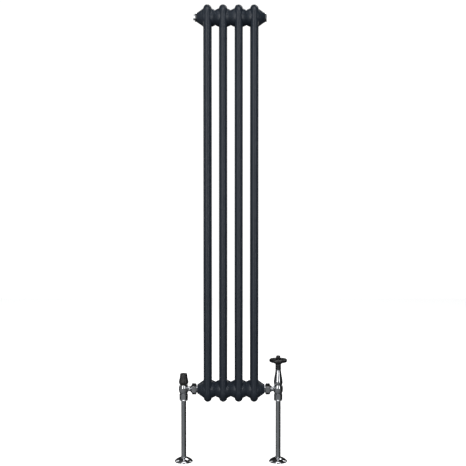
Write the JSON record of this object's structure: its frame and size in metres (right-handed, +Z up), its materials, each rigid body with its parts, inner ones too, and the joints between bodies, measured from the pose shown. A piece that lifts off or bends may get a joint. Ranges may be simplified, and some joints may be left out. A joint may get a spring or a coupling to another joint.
{
  "type": "column radiator with valves",
  "caption": "Tall two-column steel tube radiator standing on an angled hand-wheel valve and a lockshield valve, with pipe tails, floor plates and an air vent.",
  "frame": {"origin": "on the floor, midway between the two pipe tails, under the middle of the radiator", "axes": "+X to the right as seen from the room, -Y towards the room, +Y towards the wall, +Z up"},
  "size_m": [0.336, 0.061, 1.3562],
  "materials": {
    "paint": "satin anthracite powder coat",
    "chrome": "polished chrome plate",
    "brass": "machined brass",
    "black": "satin black moulding",
    "rubber": "moulded rubber"
  },
  "bodies": {
    "radiator": {"blanking_plug": "chrome", "blanking_plug_seal": "rubber", "bleed_plug": "chrome", "bleed_plug_seal": "rubber", "bottom_left_boss": "paint", "bottom_right_boss": "paint", "lockshield_body": "chrome", "lockshield_compression_nut": "chrome", "lockshield_floor_plate": "chrome", "lockshield_gland_nut": "brass", "lockshield_headwork": "brass", "lockshield_olive": "brass", "lockshield_pipe": "chrome", "lockshield_stem_seal": "rubber", "lockshield_tail": "chrome", "lockshield_union_nut": "chrome", "section_1_bottom_head": "paint", "section_1_front_tube": "paint", "section_1_rear_tube": "paint", "section_1_top_head": "paint", "section_2_bottom_head": "paint", "section_2_front_tube": "paint", "section_2_rear_tube": "paint", "section_2_top_head": "paint", "section_3_bottom_head": "paint", "section_3_front_tube": "paint", "section_3_rear_tube": "paint", "section_3_top_head": "paint", "section_4_bottom_head": "paint", "section_4_front_tube": "paint", "section_4_rear_tube": "paint", "section_4_top_head": "paint", "top_left_boss": "paint", "top_right_boss": "paint", "wheel_valve_bell_shroud": "chrome", "wheel_valve_body": "chrome", "wheel_valve_compression_nut": "chrome", "wheel_valve_floor_plate": "chrome", "wheel_valve_gland_nut": "brass", "wheel_valve_headwork": "brass", "wheel_valve_olive": "brass", "wheel_valve_pipe": "chrome", "wheel_valve_stem_seal": "rubber", "wheel_valve_tail": "chrome", "wheel_valve_union_nut": "chrome"},
    "wheel_lift": {"wheel_valve_jumper": "brass", "wheel_valve_seat_washer": "rubber"},
    "wheel": {"wheel_valve_spindle": "brass", "wheel_valve_collar": "black", "wheel_valve_handwheel": "black", "wheel_valve_wheel_cap": "black"},
    "lockshield_lift": {"lockshield_jumper": "brass", "lockshield_seat_washer": "rubber"},
    "lockshield_stem": {"lockshield_spindle": "brass"},
    "lockshield_cover": {"lockshield_cap": "black"},
    "vent_screw": {"bleed_screw": "brass"}
  },
  "joints": [
    {"name": "wheel_lift_slide", "type": "slide", "parent": "radiator", "child": "wheel_lift", "axis": [0, 0, 1], "range_m": [0, 0.003]},
    {"name": "wheel_turn", "type": "hinge", "parent": "wheel_lift", "child": "wheel", "pos_m": [0.141, 0, 0.298], "axis": [0, 0, 1], "range_deg": [0, 720]},
    {"name": "lockshield_lift_slide", "type": "slide", "parent": "radiator", "child": "lockshield_lift", "axis": [0, 0, 1], "range_m": [0, 0.003]},
    {"name": "lockshield_turn", "type": "hinge", "parent": "lockshield_lift", "child": "lockshield_stem", "pos_m": [-0.141, 0, 0.248], "axis": [0, 0, 1], "range_deg": [0, 720]},
    {"name": "lockshield_cap_slide", "type": "slide", "parent": "radiator", "child": "lockshield_cover", "axis": [0, 0, 1], "range_m": [0, 0.04]},
    {"name": "vent_screw_turn", "type": "hinge", "parent": "radiator", "child": "vent_screw", "pos_m": [-0.1, 0, 1.318], "axis": [-1, 0, 0], "range_deg": [0, 540]}
  ],
  "couplings": [
    {"joint": "wheel_lift_slide", "follows": "wheel_turn", "m_per_rad": 0.0002387},
    {"joint": "lockshield_lift_slide", "follows": "lockshield_turn", "m_per_rad": 0.0002387}
  ]
}
